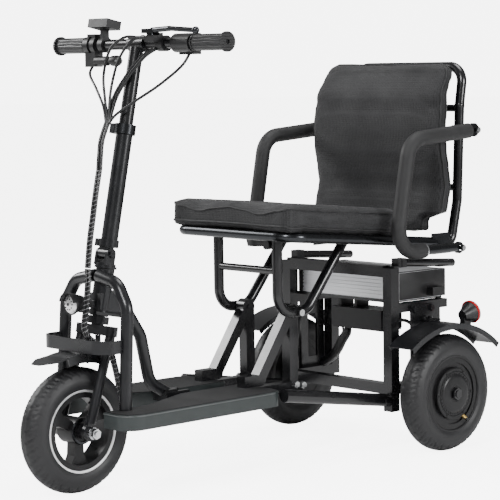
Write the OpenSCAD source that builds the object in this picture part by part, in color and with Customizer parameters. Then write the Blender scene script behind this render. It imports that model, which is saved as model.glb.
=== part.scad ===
// Folding electric three-wheeler with a padded seat, armrests and a height-adjustable stem.
// Front points to -Y, the rider's left is +X, the wheels stand on z = 0. All sizes in mm.

/* [Wheels] */
// front tyre diameter
front_tyre_d = 255; // [200:1:300]
// rear tyre diameter
rear_tyre_d = 258; // [200:1:300]
// tyre section width
tyre_w = 61; // [40:1:80]
// rear track, wheel centre to wheel centre
rear_track = 478; // [400:2:560]
// wheelbase
wheelbase = 839; // [700:1:1000]
// front axle diameter
front_axle_d = 12; // [10:1:16]
// rear axle diameter
rear_axle_d = 16; // [12:1:20]
// bearing clearance on the radius
bearing_gap = 0.05; // [0.01:0.01:0.1]

/* [Steering] */
// lean of the steering axis from upright
head_lean = 11.8; // [5:0.1:20]
// forward offset of the front axle from the steering axis
rake = 19.2; // [0:0.1:40]
// length of the head tube
head_tube_len = 96; // [70:1:140]
// outer diameter of the head tube
head_tube_d = 38; // [32:1:46]
// steerer diameter
steerer_d = 25.4; // [22:0.1:30]
// upper stem tube diameter
upper_stem_d = 28.6; // [22:0.1:35]
// lower stem tube diameter
lower_stem_d = 34; // [28:0.1:42]
// handlebar diameter
bar_d = 22; // [19:0.1:28]
// handlebar length over the grips
bar_len = 530; // [400:5:700]
// handlebar height above the ground
bar_z = 895; // [700:1:1050]

/* [Frame] */
// round frame tube diameter
tube_d = 25.4; // [20:0.1:35]
// square frame tube width
box_w = 25; // [20:1:35]
// distance of each arch leg from the middle
arch_x = 102; // [80:1:130]
// top of the footboards above the ground
deck_z = 172; // [120:1:220]
// depth of the footboard side band
deck_h = 31; // [20:1:50]
// half width over the footboards
deck_x = 163; // [120:1:200]
// side rail diameter
rail_d = 28; // [20:1:35]
// distance of each side rail from the middle
rail_x = 158; // [120:1:200]
// clear gap between pieces that only rest on each other
rest_gap = 0.3; // [0.1:0.1:1]

/* [Seat] */
// seat frame tube diameter
seat_tube_d = 22; // [18:0.5:30]
// distance of each seat side tube from the middle
seat_x = 178; // [140:1:220]
// backwards slope of the seat
seat_slope = 5.1; // [0:0.1:12]
// half width of the seat cushion
cushion_x = 191; // [150:1:240]
// length of the seat cushion
cushion_len = 356; // [280:1:440]
// half width of the backrest cushion
back_x = 205; // [160:1:240]
// distance of each armrest from the middle
arm_x = 226; // [190:1:260]
// armrest foam diameter
foam_d = 33; // [26:1:45]
// armrest tube diameter
arm_tube_d = 20; // [16:1:26]

/* [Power] */
// battery length across the frame
battery_len = 315; // [250:1:360]
// battery depth
battery_d = 152; // [100:1:180]
// battery height
battery_h = 61; // [40:1:100]
// controller box width
controller_w = 154; // [100:1:200]

/* [Hidden] */
head_y = -359;
head_z = 402;
axle_w = -284.4;
front_y = head_y - rake * cos(head_lean) + axle_w * sin(head_lean);
front_z = head_z + rake * sin(head_lean) + axle_w * cos(head_lean);
rear_y = front_y + wheelbase;
rear_z = rear_tyre_d / 2;
rear_x = rear_track / 2;
head_low = -52;
head_top = head_low + head_tube_len;
hinge_y = -5;
hinge_w = 74;
bar_y = -248.5;
clamp_w = 318;
stem_in = 215;
collar_w = 88;
bead_r = 80.5;
lip_r = 85;
post_y = [307, 332];
post_x = [146, 171];
arm_end_y = 490;
pivot_a = [94, 323];
utube_x = 92.5;
utube_d = 22;
pivot_d = [466, 443];
pivot_e = [517, 701];
arm_path = [[500, 699.8], [308.7, 685], [263.4, 444], [350, 444]];
arm_tube_path = [[520, 701.4], [308.7, 685], [263.4, 444], [456, 444]];
bead_len = 0.3;
bead_grow = 1.008;
guard_y = 395;
guard_z = 52;
guard_r = 231.5;
battery_x = 8;
battery_y = 414;
battery_z = 330.5;

// moulded cable sheath from the handlebar to the steering head
cable_top = [[60, -262, 884], [40, -276, 868], [12, -292, 832], [-12, -306, 790], [-16, -322, 745],
    [-14, -342, 704], [-8, -352, 672], [-4, -358, 643]];
cable_low = [[-4, -358.5, 642], [4, -374, 600], [8, -386, 552], [12, -398, 505],
    [19, -410, 452]];
cable_foot = [[20, -411, 450], [28, -418, 418], [33, -428, 372], [34, -433, 334], [44, -426, 314],
    [66, -398, 290], [74, -392, 262], [78, -388, 236], [80, -382, 205], [84, -372, 178]];
conduit = [[-10, 352, 255.6], [-10, 352, 244], [-26, 354, 226], [-50, 364, 202], [-90, 384, 178],
    [-132, 400, 160]];
lead_near = [[131.8, 360, 284], [139, 360, 284], [150, 378, 282], [168, 398, 262], [188, 404, 236],
    [190, 406, 196], [186, 404, 160]];

// ---- helpers ----

// round bar from point a to point b
module bar(a, b, d) {
    v = b - a;
    translate(a) rotate([0, acos(v[2] / norm(v)), atan2(v[1], v[0])]) cylinder(d = d, h = norm(v), $fn = 48);
}

// box from its low corner to its high corner
module block(a, b) {
    translate(a) cube(b - a);
}

function turn(p, i) =
    let (a = atan2(p[i][1] - p[i - 1][1], p[i][0] - p[i - 1][0]),
         b = atan2(p[i + 1][1] - p[i][1], p[i + 1][0] - p[i][0]),
         t = b - a)
    t > 180 ? t - 360 : t < -180 ? t + 360 : t;
function heading(p, i) = atan2(p[i + 1][1] - p[i][1], p[i + 1][0] - p[i][0]);
function inset_len(p, i, r) = i <= 0 || i >= len(p) - 1 ? 0 : r * tan(abs(turn(p, i)) / 2);

// section swept along a flat path with round bends
module bent(p, r) {
    for (i = [0 : len(p) - 2]) {
        h = heading(p, i);
        span = norm(p[i + 1] - p[i]);
        a = inset_len(p, i, r);
        b = inset_len(p, i + 1, r);
        translate([p[i][0], p[i][1], 0]) rotate([0, 0, h]) translate([a, 0, 0]) rotate([90, 0, 90])
            linear_extrude(span - a - b) children();
        // thin bead that joins the straight run to the next bend
        if (i < len(p) - 2) translate([p[i][0], p[i][1], 0]) rotate([0, 0, h])
            translate([span - b - bead_len / 2, 0, 0]) rotate([90, 0, 90])
                linear_extrude(bead_len) scale(bead_grow) children();
        if (i > 0) translate([p[i][0], p[i][1], 0]) rotate([0, 0, h])
            translate([a - bead_len / 2, 0, 0]) rotate([90, 0, 90])
                linear_extrude(bead_len) scale(bead_grow) children();
    }
    for (i = [1 : 1 : len(p) - 2]) {
        s = turn(p, i);
        h = heading(p, i - 1);
        t = inset_len(p, i, r);
        q = p[i] - t * [cos(h), sin(h)];
        side = s > 0 ? 1 : -1;
        c = q + side * r * [-sin(h), cos(h)];
        if (abs(s) > 0.01)
            translate([c[0], c[1], 0]) rotate([0, 0, s > 0 ? h - 90 : h + 90 + s])
                rotate_extrude(angle = abs(s), $fn = 96) translate([r, 0]) children();
    }
}

// round tube along a flat path
module tube(p, r, d) {
    bent(p, r) circle(d = d, $fn = 48);
}

// flat bar from a to b with a square end
module flat_bar(a, b, w) {
    translate(a) rotate([0, 0, atan2(b[1] - a[1], b[0] - a[0])]) translate([0, -w / 2]) square([norm(b - a), w]);
}

// turns a flat path so that x becomes Y, y becomes Z, at distance x from the middle
module at_side(x) {
    translate([x, 0, 0]) rotate([90, 0, 90]) children();
}

// same piece on both sides
module both() {
    children();
    mirror([1, 0, 0]) children();
}

// steering frame: z runs up the steering axis
module steer() {
    translate([0, head_y, head_z]) rotate([-head_lean, 0, 0]) children();
}

// cylinder along X from x = a to x = b
module rod(a, b, d, y = 0, z = 0, n = 48) {
    translate([a, y, z]) rotate([0, 90, 0]) cylinder(d = d, h = b - a, $fn = n);
}

// cylinder along Y
module rod_y(a, b, d, x = 0, z = 0, d2 = 0) {
    translate([x, a, z]) rotate([-90, 0, 0]) cylinder(d1 = d, d2 = d2 > 0 ? d2 : d, h = b - a, $fn = 48);
}

// hexagon bolt head or nut along X
module hex(a, b, w, y, z) {
    rod(a, b, w / cos(30), y, z, 6);
}

// wheel section turned about X
module wheel_turn(x, y, z) {
    translate([x, y, z]) rotate([0, 90, 0]) rotate_extrude($fn = 128) children();
}

function unit(v) = v / norm(v);
// ring of a swept cord at point i
function ring(p, i, r, n) =
    let (a = p[max(i - 1, 0)], b = p[min(i + 1, len(p) - 1)], t = unit(b - a),
         u = unit(cross(t, [0.6, -0.8, 0.3])), v = cross(t, u))
    [for (k = [0 : n - 1]) p[i] + r * (cos(360 * k / n) * u + sin(360 * k / n) * v)];
// point on a smooth curve through the route
function curve(p, i, t) =
    let (m = len(p) - 1, a = p[max(i - 1, 0)], b = p[i], c = p[min(i + 1, m)], d = p[min(i + 2, m)])
    0.5 * (2 * b + (c - a) * t + (2 * a - 5 * b + 4 * c - d) * t * t + (3 * b - a - 3 * c + d) * t * t * t);
function smooth(p, k) = concat(
    [for (i = [0 : len(p) - 2], j = [0 : k - 1]) curve(p, i, j / k)], [p[len(p) - 1]]);

// cord swept along a route
module cord(route, r, k, n = 8) {
    p = smooth(route, k);
    m = len(p);
    polyhedron(
        points = [for (i = [0 : m - 1]) each ring(p, i, r, n)],
        faces = concat(
            [[for (k = [0 : n - 1]) k]],
            [for (i = [0 : m - 2], k = [0 : n - 1])
                [(i + 1) * n + k, (i + 1) * n + (k + 1) % n, i * n + (k + 1) % n, i * n + k]],
            [[for (k = [0 : n - 1]) m * n - 1 - k]]));
}

// ---- frame ----

module head_tube() color("dimgray") difference() {
    union() {
        steer() translate([0, 0, head_low]) cylinder(d = head_tube_d, h = head_tube_len, $fn = 64);
        // gusset box with a slot and the cross plate at its foot
        block([-17, -378, 356], [17, -322, 398]);
        difference() {
            block([-86, -384, 356], [86, -352, 362]);
            block([-52, -364, 355], [52, -351, 363]);
        }
        // headlight bracket
        block([-6, -404, 372], [6, -378, 384]);
        rod(-6, 6, 14, -402, 378);
    }
    steer() translate([0, 0, head_low - 40]) cylinder(d = steerer_d + 2 * bearing_gap, h = 200, $fn = 64);
    block([-3, -335, 360], [3, -321, 394]);
    rod(-20, 20, 5.1, -402, 378);
}

// one half of the front arch, from its foot to the head tube
module arch_half() color("dimgray") difference() {
    translate([0, -388, deck_z - 8]) rotate([-3.4, 0, 0]) rotate([90, 0, 0])
        tube([[arch_x, 0], [98, 212], [66, 258], [6, 270]], 40, tube_d);
    steer() translate([0, 0, -40]) cylinder(d = head_tube_d + 0.1, h = 120, $fn = 64);
    block([-60, -420, 140], [2, -340, 460]);
    block([-86.2, -385, 355.8], [86.2, -351, 362.2]);
    block([60, -420, 140], [140, -360, deck_z + 0.1]);
}
module arch_left() arch_half();
module arch_right() mirror([1, 0, 0]) arch_half();

module down_tube() color("dimgray") difference() {
    at_side(0) tube([[-322, 390], [-262, 300], [-240, 200], [-184, 168]], 45, tube_d);
    block([-18, -380, 355], [18, -321.9, 420]);
    block([-30, -212.1, 150], [30, -150, 183.1]);
}

// rounded band around the fork
module bumper() color("dimgray") difference() {
    translate([0, 0, 300]) bent([[-99, -391], [-108, -440], [108, -440], [99, -391]], 34)
        square([6, 26], center = true);
    both() translate([0, -388, deck_z - 8]) rotate([-3.4, 0, 0]) rotate([90, 0, 0])
        tube([[arch_x, 0], [98, 212], [66, 258], [6, 270]], 40, tube_d + 0.1);
}

// centre tubes under the footboards with the hinge bracket in front
module spine() color("dimgray") {
    difference() {
        block([-22, -212, 158], [22, -182, 183]);
        rod(-30, 30, 8.2, -163, 166);
    }
    block([-24.7, -190, 146], [24.7, 0, 158]);
    both() block([14, -182, 158], [22, -150, 178]);
    rod(-24.4, 24.4, 8, -163, 166);
    both() hex(22, 24.6, 13, -163, 166);
}

module footboards() color("darkslategray") both() difference() {
    translate([0, 0, deck_z - deck_h]) linear_extrude(deck_h) difference() {
        polygon([[86, -430], [deck_x, -430], [deck_x - 8, -8], [25, -8], [25, -180], [86, -320]]);
        // rounded corners
        difference() {
            translate([deck_x - 38, -431]) square([40, 39]);
            translate([deck_x - 38.7, -392]) circle(r = 38, $fn = 64);
        }
        difference() {
            translate([deck_x - 31, -31]) square([26, 25]);
            translate([deck_x - 32, -32]) circle(r = 24, $fn = 64);
        }
    }
    // hollow underneath
    translate([0, 0, deck_z - deck_h - 1]) linear_extrude(deck_h - 7)
        polygon([[92, -392], [deck_x - 8, -392], [deck_x - 16, -34], [31, -34], [31, -178], [92, -316]]);
}

// inverted V that carries the seat
module struts() color("dimgray") both() difference() {
    at_side(56) linear_extrude(24) {
        flat_bar([94, 323], [0, 184.8], 23);
        flat_bar([4, 184.8], [-46, 184.8], 24);
        flat_bar([98, 318], [98, 168], 24);
        flat_bar([2, 160], [124, 160], 22);
        translate([94, 323]) circle(d = 34, $fn = 48);
        translate([2, 186]) circle(d = 26, $fn = 48);
    }
    block([50, -80, 140], [90, 1, deck_z + 0.2]);
    rod(40, 120, 10, pivot_a[0], pivot_a[1]);
}

module strut_bolts() color("silver") both() {
    for (p = [[94, 166], [115, 163]]) {
        rod(80.1, 88, 9, p[0], p[1]);
        hex(88, 94, 13, p[0], p[1]);
    }
}

module rails() color("dimgray") both() difference() {
    union() {
        bar([rail_x, -20, 164], [rail_x, 312, 113], rail_d);
        rod(rail_x - 16, rail_x + 16, 12, 292, 116);
    }
    block([rail_x - 40, -60, 100], [rail_x + 40, -7.9, 200]);
    block([rail_x - 40, post_y[0] - 0.1, 60], [rail_x + 40, 360, 200]);
}

module posts() color("dimgray") both() block([post_x[0], post_y[0], 88], [post_x[1], post_y[1], 404]);

module cross_beams() color("dimgray") {
    block([-post_x[0], post_y[0], 384], [post_x[0], post_y[1], 409]);
    block([-post_x[0], post_y[0], 126], [post_x[0], post_y[1], 149]);
}

module rear_arms() color("dimgray") both() {
    block([post_x[0], post_y[1], 305], [post_x[1], arm_end_y, 324]);
    block([post_x[0], 441, 126], [post_x[1], 466, 305]);
    block([post_x[0], post_y[1], 126], [post_x[1], 441, 149]);
}

// axle plates with their bolts and the fixed rear axles
module axle_plates() color("dimgray") both() {
    difference() {
        block([post_x[1], 366, 105], [post_x[1] + 6, 440, 318]);
        block([post_x[1] - 1, 388, 170], [post_x[1] + 7, 418, 270]);
    }
    for (y = [376, 430], z = [137, 309]) hex(post_x[1] + 6, post_x[1] + 11, 13, y, z);
    rod(post_x[1] + 6, 281, rear_axle_d, rear_y, rear_z);
    hex(post_x[1] + 6, post_x[1] + 18, 24, rear_y, rear_z);
    hex(rear_x + 34, rear_x + 40, 24, rear_y, rear_z);
    // fender strap
    block([post_x[1] + 6, 392, 283.8], [212, 422, 287.5]);
    for (y = [397, 416]) translate([186, y, 287.5]) cylinder(d = 11, h = 4, $fn = 6);
}

module rear_fenders() color("dimgray") both() translate([0, guard_y, guard_z]) rotate([90, 0, 90])
    translate([0, 0, rear_x - 35]) rotate([0, 0, 49]) rotate_extrude(angle = 76, $fn = 160) difference() {
        translate([guard_r - 12, 0]) square([12, 70]);
        translate([guard_r - 13, 2.5]) square([10, 65]);
    }

module tail_lights() color("black") both() difference() {
    union() {
        translate([250, 464, 297]) rotate([14, 0, 0]) {
            rod_y(-14, 14, 24, 0, 0, 46);
            rod_y(14, 20, 50, 0, 0);
        }
        block([243, 450, 262], [257, 472, 292]);
    }
    translate([200, guard_y, guard_z]) rotate([0, 90, 0]) cylinder(r = guard_r + 0.2, h = 90, $fn = 160);
}

// tubes that the seat rests over
module carriers() color("dimgray") both() {
    difference() {
        union() {
            bar([160, 352, 413.7], [160, 520, 402], 18);
            block([150, 344, 404.3], [170, 358, 424]);
            block([152, 467, 395.8], [168, 497, 410]);
        }
        block([140, 300, 380], [180, 333, 404.2]);
    }
    block([post_x[0] + 2, 333, 404.2], [post_x[1] - 2, 344, 424]);
    block([post_x[0] + 2, 320, 404.2], [post_x[1] - 2, 333, 408]);
}

module battery_tray() color("black") difference() {
    union() {
        block([-post_x[0], 334, 324.2], [post_x[0], arm_end_y, 330]);
        block([-post_x[0] - 8, 334, 324.2], [post_x[0] + 8, 344, 330]);
        block([-post_x[0] - 8, 476, 324.2], [post_x[0] + 8, arm_end_y, 330]);
    }
    for (x = [-90 : 60 : 90]) block([x - 18, 356, 320], [x + 18, 468, 331]);
}

// finned power box hung under the tray
module controller() color("black") {
    block([-38, 332.2, 262], [-38 + controller_w, 400, 305]);
    for (i = [0 : 9]) block([-38, 336 + 6.5 * i, 258], [-38 + controller_w, 339 + 6.5 * i, 262]);
    block([116, 345, 272], [130, 375, 296]);
    both() block([20, 346, 305], [28, 386, 324.1]);
}

module motor_leads() color("black") {
    cord(conduit, 11, 2, 10);
    cord(lead_near, 4, 2);
    // plug beside the battery
    block([166, 428, 336], [184, 468, 354]);
}

module cable_foot() color("black") cord(cable_foot, 5, 1);

// ---- steering ----

module fork() color("dimgray") steer() difference() {
    union() {
        translate([0, 0, -90]) cylinder(d = steerer_d, h = 90 + head_top + 0.5, $fn = 64);
        // lower bearing cup
        translate([0, 0, -68]) cylinder(d = 44, h = 15.5, $fn = 64);
        // crown with round ends
        translate([0, 0, -90]) linear_extrude(20) {
            square([92, 26], center = true);
            for (s = [-1, 1]) translate([s * 46, 0]) circle(d = 26, $fn = 48);
        }
        for (s = [-1, 1]) {
            bar([s * 46, -rake, axle_w + 18], [s * 46, 0, -86], 20);
            translate([s * 46, 0, 0]) {
                rod(-5, 5, 34, -rake, axle_w);
                translate([-5, -rake - 10, axle_w]) cube([10, 20, 34]);
            }
        }
    }
    rod(-80, 80, front_axle_d, -rake, axle_w);
}

module front_fender() color("dimgray") difference() {
    union() {
        translate([0, front_y, front_z]) rotate([90, 0, 90]) translate([0, 0, -32]) rotate([0, 0, 64])
            rotate_extrude(angle = 40, $fn = 128) difference() {
                translate([138, 0]) square([18.5, 64]);
                translate([137, 3]) square([16.5, 58]);
            }
        // pointed nose
        translate([0, front_y, front_z]) rotate([104, 0, 0]) translate([0, 156.3, -2]) rotate([84.4, 0, 0])
            linear_extrude(2.8) polygon([[-31, 0], [31, 0], [33, 34], [12, 60], [-12, 60], [-33, 34]]);
        // tabs up to the crown
        for (s = [-1, 1]) translate([s * 16 - 6, -388, 274]) cube([12, 5, 46]);
    }
    steer() translate([0, 0, -90.1]) linear_extrude(30) square([140, 60], center = true);
}

module front_axle() color("silver") steer() translate([0, -rake, axle_w]) {
    rod(-75, 75, front_axle_d);
    for (s = [-1, 1]) translate([s * 56.1, 0, 0]) {
        rod(-5, 5, 24);
        hex(s > 0 ? 5 : -15, s > 0 ? 15 : -5, 19, 0, 0);
    }
}

// hinge base on top of the steerer
module yoke() color("dimgray") steer() difference() {
    union() {
        translate([0, 0, head_top + 0.5]) cylinder(d = 45, h = 5, $fn = 64);
        translate([0, 0, head_top + 5.5]) cylinder(d = 40, h = 5, $fn = 64);
        for (s = [-1, 1]) {
            rod(s > 0 ? 13 : -19, s > 0 ? 19 : -13, 23, hinge_y, hinge_w);
            translate([s > 0 ? 13 : -19, hinge_y - 11.5, head_top + 6]) cube([6, 23, hinge_w - head_top - 6]);
        }
        rod(-22, 22, 8, hinge_y, hinge_w);
        hex(19, 24, 13, hinge_y, hinge_w);
        hex(-24, -19, 13, hinge_y, hinge_w);
    }
}

module stem_lower() color("dimgray") steer() difference() {
    union() {
        rod(-12.7, 12.7, 22, hinge_y, hinge_w);
        translate([-12.7, hinge_y - 9, hinge_w]) cube([25.4, 18, 16]);
        translate([0, 0, collar_w]) cylinder(d = 40, h = 15, $fn = 64);
        translate([0, 0, collar_w + 10]) cylinder(d = lower_stem_d, h = clamp_w - collar_w + 5.9, $fn = 64);
        // ear for the latch
        translate([-28, -14, collar_w]) cube([12, 14, 15]);
    }
    rod(-13, 13, 8.1, hinge_y, hinge_w);
    translate([0, 0, collar_w + 5]) cylinder(d = upper_stem_d + 0.1, h = 400, $fn = 64);
    translate([-1.5, 8, clamp_w - 46]) cube([3, 20, 80]);
    translate([-29, -12, collar_w + 3]) cube([10, 26, 9]);
    translate([-24, -7, collar_w - 1]) cylinder(d = 5.1, h = 20, $fn = 32);
}

module stem_clamp() color("silver") steer() difference() {
    union() {
        translate([0, 0, clamp_w]) cylinder(d = 43, h = 20, $fn = 64);
        translate([-30, -16, clamp_w]) cube([14, 14, 20]);
    }
    translate([0, 0, clamp_w - 1]) cylinder(d = lower_stem_d, h = 17, $fn = 64);
    translate([0, 0, clamp_w - 1]) cylinder(d = upper_stem_d + 0.1, h = 40, $fn = 64);
    translate([-31, -14.2, clamp_w + 5]) cube([10.7, 26, 10]);
    translate([-25, -9, clamp_w - 1]) cylinder(d = 5.1, h = 30, $fn = 32);
    translate([-1.5, 8, clamp_w - 1]) cube([3, 20, 30]);
}

// quick-release lever with its pin
module release_lever(h) difference() {
    union() {
        cylinder(d = 9, h = h, $fn = 32);
        translate([-4, 0, 0]) cube([4.5, 34, h]);
        translate([-4, 34, -2]) cube([7, 12, h + 4]);
        translate([0, 0, -2.5]) cylinder(d = 5, h = h + 5, $fn = 32);
    }
}
module latch_lever() color("black") steer() translate([-24, -7, collar_w + 3.3]) release_lever(8.4);
module clamp_lever() color("black") steer() translate([-25, -9, clamp_w + 5.3]) release_lever(9.4);

module stem_upper() color("dimgray") difference() {
    union() {
        steer() translate([0, 0, stem_in]) cylinder(d = upper_stem_d, h = 496 - stem_in, $fn = 64);
        rod(-24, 24, 34, bar_y, bar_z);
    }
    rod(-30, 30, bar_d, bar_y, bar_z);
}

// ---- handlebar ----

module handlebar() color("dimgray") rod(-bar_len / 2 + 3, bar_len / 2 - 3, bar_d, bar_y, bar_z);

// grip with a flange at its outer end
module grip() difference() {
    union() {
        rod(172, 262, 33, bar_y, bar_z);
        rod(260, 265, 40, bar_y, bar_z);
        rod(170, 174, 35, bar_y, bar_z);
    }
    rod(160, 262, bar_d, bar_y, bar_z);
    rod(260, 270, 10, bar_y, bar_z);
}
module grips() color("black") both() grip();

module display() color("black") difference() {
    union() {
        translate([-114, bar_y, 937]) rotate([-12, 0, 0]) block([-31, -19, -9], [31, 19, 9]);
        block([-119, bar_y - 8, bar_z], [-109, bar_y + 8, 932]);
        rod(-121, -107, 32, bar_y, bar_z);
    }
    rod(-130, -100, bar_d, bar_y, bar_z);
}

module brake_perch() color("dimgray") difference() {
    union() {
        rod(62, 84, 32, bar_y, bar_z);
        block([56, -284, 898], [84, -258, 916]);
        // cable adjusters
        rod(44, 56, 9, -280, 908);
        rod(30, 44, 6, -280, 908);
        rod(44, 56, 9, -266, 908);
        rod(30, 44, 6, -266, 908);
    }
    rod(50, 90, bar_d, bar_y, bar_z);
    block([50, -300, 911], [90, -268, 920]);
}

// brake lever blade, ending in a ball
module brake_blade() color("silver") {
    translate([66, -276, 911.3]) {
        cylinder(d = 16, h = 10, $fn = 48);
        translate([-12, -14, 4]) cube([34, 18, 9]);
    }
    bar([80, -284, 921], [140, -288, 923], 11);
    bar([140, -288, 923], [212, -286, 918], 10);
    translate([140, -288, 923]) sphere(d = 11, $fn = 32);
    translate([214, -286, 918]) sphere(d = 15, $fn = 32);
}

module throttle_pod() color("black") difference() {
    union() {
        rod(-168, -132, 36, bar_y, bar_z);
        block([-166, bar_y - 12, 850], [-132, bar_y + 8, 890]);
        rod(-134, -98, 20, -254, 862);
        block([-160, bar_y - 10, 900], [-134, bar_y + 10, 918]);
    }
    rod(-180, -120, bar_d, bar_y, bar_z);
    rod(-112, -97, 8, -254, 862);
    // slot for the thumb paddle
    difference() {
        rod(-153, -145, 40, bar_y, bar_z);
        rod(-154, -144, 27, bar_y, bar_z);
    }
    block([-153, bar_y - 9, 840], [-145, bar_y + 30, 881]);
    block([-153, bar_y + 2, 840], [-145, bar_y + 30, 896]);
}

module throttle_paddle() color("black") difference() {
    union() {
        rod(-152.6, -145.4, 34, bar_y, bar_z);
        block([-152.6, bar_y + 13.6, 858], [-145.4, bar_y + 20, 897]);
    }
    rod(-154, -144, 27.1, bar_y, bar_z);
    block([-154, bar_y - 20, 870], [-144, bar_y + 13.5, 895]);
    block([-154, bar_y - 20, 870], [-144, bar_y, 930]);
}

module switch_pod() color("black") difference() {
    union() {
        rod(114, 166, 38, bar_y, bar_z);
        block([120, bar_y, 872], [160, bar_y + 24, 914]);
    }
    rod(100, 180, bar_d, bar_y, bar_z);
    translate([132, 0, 904]) rotate([-90, 0, 0]) translate([0, 0, bar_y + 16]) cylinder(d = 9, h = 20, $fn = 32);
}

module horn_button() color("firebrick") translate([132, bar_y + 18.5, 904]) rotate([-90, 0, 0])
    cylinder(d = 8.6, h = 9, $fn = 32);

module key() color("silver") {
    rod(-111, -84, 7, -254, 862);
    translate([-84, -264, 860.5]) cube([22, 20, 3]);
}

module cable_top() color("black") cord(cable_top, 5, 1);
module cable_low() color("black") cord(cable_low, 5, 1);

module headlight() color("black") difference() {
    union() {
        rod_y(-437, -410, 42, 0, 381, 26);
        rod_y(-440, -437, 44, 0, 381);
        for (s = [-1, 1]) translate([s * 9.5 - 3, -418, 373]) cube([6, 16, 12]);
        for (s = [-1, 1]) rod(s * 9.5 - 3, s * 9.5 + 3, 12, -402, 378);
        rod(-12, 12, 5, -402, 378);
    }
    rod_y(-441, -436, 36, 0, 381);
}

// ---- wheels ----

module tyre_section(r) difference() {
    translate([r - tyre_w / 2, 0]) circle(d = tyre_w, $fn = 64);
    translate([0, -22]) square([bead_r, 44]);
    translate([0, -60]) square([lip_r + 0.1, 38]);
    translate([0, 22]) square([lip_r + 0.1, 38]);
}
module front_tyre() color("#222") wheel_turn(0, front_y, front_z) tyre_section(front_tyre_d / 2);

module rim_ring() {
    difference() {
        translate([68, -25]) square([lip_r - 68, 50]);
        translate([bead_r, -22]) square([20, 44]);
    }
}

module front_rim() color("silver") difference() {
    union() {
        wheel_turn(0, front_y, front_z) rim_ring();
        rod(-24, 24, 54, front_y, front_z);
        rod(-38, 38, 30, front_y, front_z);
        translate([0, front_y, front_z]) for (a = [0 : 120 : 240]) rotate([a - 90, 0, 0])
            rotate([90, 0, 90]) translate([0, 0, -13]) linear_extrude(26)
            polygon([[18, -10], [50, -12], [70, -22], [70, 22], [50, 12], [18, 10]]);
    }
    rod(-40, 40, front_axle_d + 2 * bearing_gap, front_y, front_z);
}

module tyre_left() color("#222") wheel_turn(rear_x, rear_y, rear_z) tyre_section(rear_tyre_d / 2);
module tyre_right() mirror([1, 0, 0]) tyre_left();

// hub motor with its cast rim and valve
module hub() difference() {
    union() {
        wheel_turn(rear_x, rear_y, rear_z) rim_ring();
        rod(rear_x - 24, rear_x + 22, 140, rear_y, rear_z);
        rod(rear_x - 28, rear_x + 28, 115, rear_y, rear_z);
        rod(rear_x + 28, rear_x + 31, 96, rear_y, rear_z);
        rod(rear_x - 31, rear_x + 33, 52, rear_y, rear_z);
        bar([rear_x + 21, rear_y + 28, rear_z - 48], [rear_x + 36, rear_y + 34, rear_z - 60], 7);
    }
    rod(rear_x - 40, rear_x + 40, rear_axle_d + 2 * bearing_gap, rear_y, rear_z);
}
module hub_left() color("dimgray") hub();
module hub_right() color("dimgray") mirror([1, 0, 0]) hub();

// ---- seat ----

// sloping seat frame: y runs back along the side tubes
module seat_frame() {
    translate([0, -5, 494]) rotate([-seat_slope, 0, 0]) children();
}

module seat_loop() color("silver") {
    seat_frame() tube([[-seat_x, 448], [-seat_x, 0], [seat_x, 0], [seat_x, 448]], 40, seat_tube_d);
    // rear plates and the pivot bolts
    both() {
        difference() {
            block([183.2, 424, 428], [188, 480, 474]);
            block([183, 440, 425], [184, 481, 475]);
        }
        rod(160, 242, 8, pivot_d[0], pivot_d[1]);
        hex(237, 242, 13, pivot_d[0], pivot_d[1]);
    }
}

module seat_pan() color("black") difference() {
    union() {
        seat_frame() block([-seat_x + 11.2, 45, 4], [seat_x - 11.2, 330, 8]);
        seat_frame() block([-130, 12, 4], [130, 45.1, 8]);
        // shallow bowl and knob under the pan
        translate([0, 72, 462]) cylinder(d1 = 46, d2 = 60, h = 31, $fn = 48);
        rod_y(30, 46, 20, 68, 470);
        block([60, 40, 466], [76, 60, 494]);
    }
}

module u_tubes() color("dimgray") difference() {
    union() {
        both() at_side(utube_x) tube([[40, 492], [40, pivot_a[1]], [125, pivot_a[1]], [244, 470]], 42, utube_d);
        rod(-utube_x, utube_x, 16, 40, 415);
        both() {
            rod(53, 108, 9.9, pivot_a[0], pivot_a[1]);
            hex(104, 110, 16, pivot_a[0], pivot_a[1]);
        }
    }
    seat_frame() block([-150, -20, 3.8], [150, 340, 40]);
}

module seat_cushion() color("#222") translate([0, -25, 0]) translate([0, 0, 507.4])
    rotate([-seat_slope, 0, 0]) intersection() {
        translate([0, cushion_len, 0]) rotate([90, 0, 0]) linear_extrude(cushion_len)
            polygon([[-cushion_x, 0], [cushion_x, 0], [cushion_x, 44], [cushion_x - 8, 53], [150, 50],
                [95, 41], [40, 50], [0, 55], [-40, 50], [-95, 41], [-150, 50], [8 - cushion_x, 53],
                [-cushion_x, 44]]);
        rotate([90, 0, 90]) translate([0, 0, -cushion_x]) linear_extrude(2 * cushion_x)
            polygon([[0, 0], [cushion_len, 0], [cushion_len, 44], [cushion_len - 10, 56], [16, 56], [4, 48],
                [0, 36]]);
        linear_extrude(60) difference() {
            translate([-cushion_x, 0]) square([2 * cushion_x, cushion_len]);
            for (s = [-1, 1]) difference() {
                translate([s > 0 ? cushion_x - 30 : -cushion_x - 1, -1]) square([31, 31]);
                translate([s * (cushion_x - 30), 30]) circle(r = 30, $fn = 64);
            }
        }
    }

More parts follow.
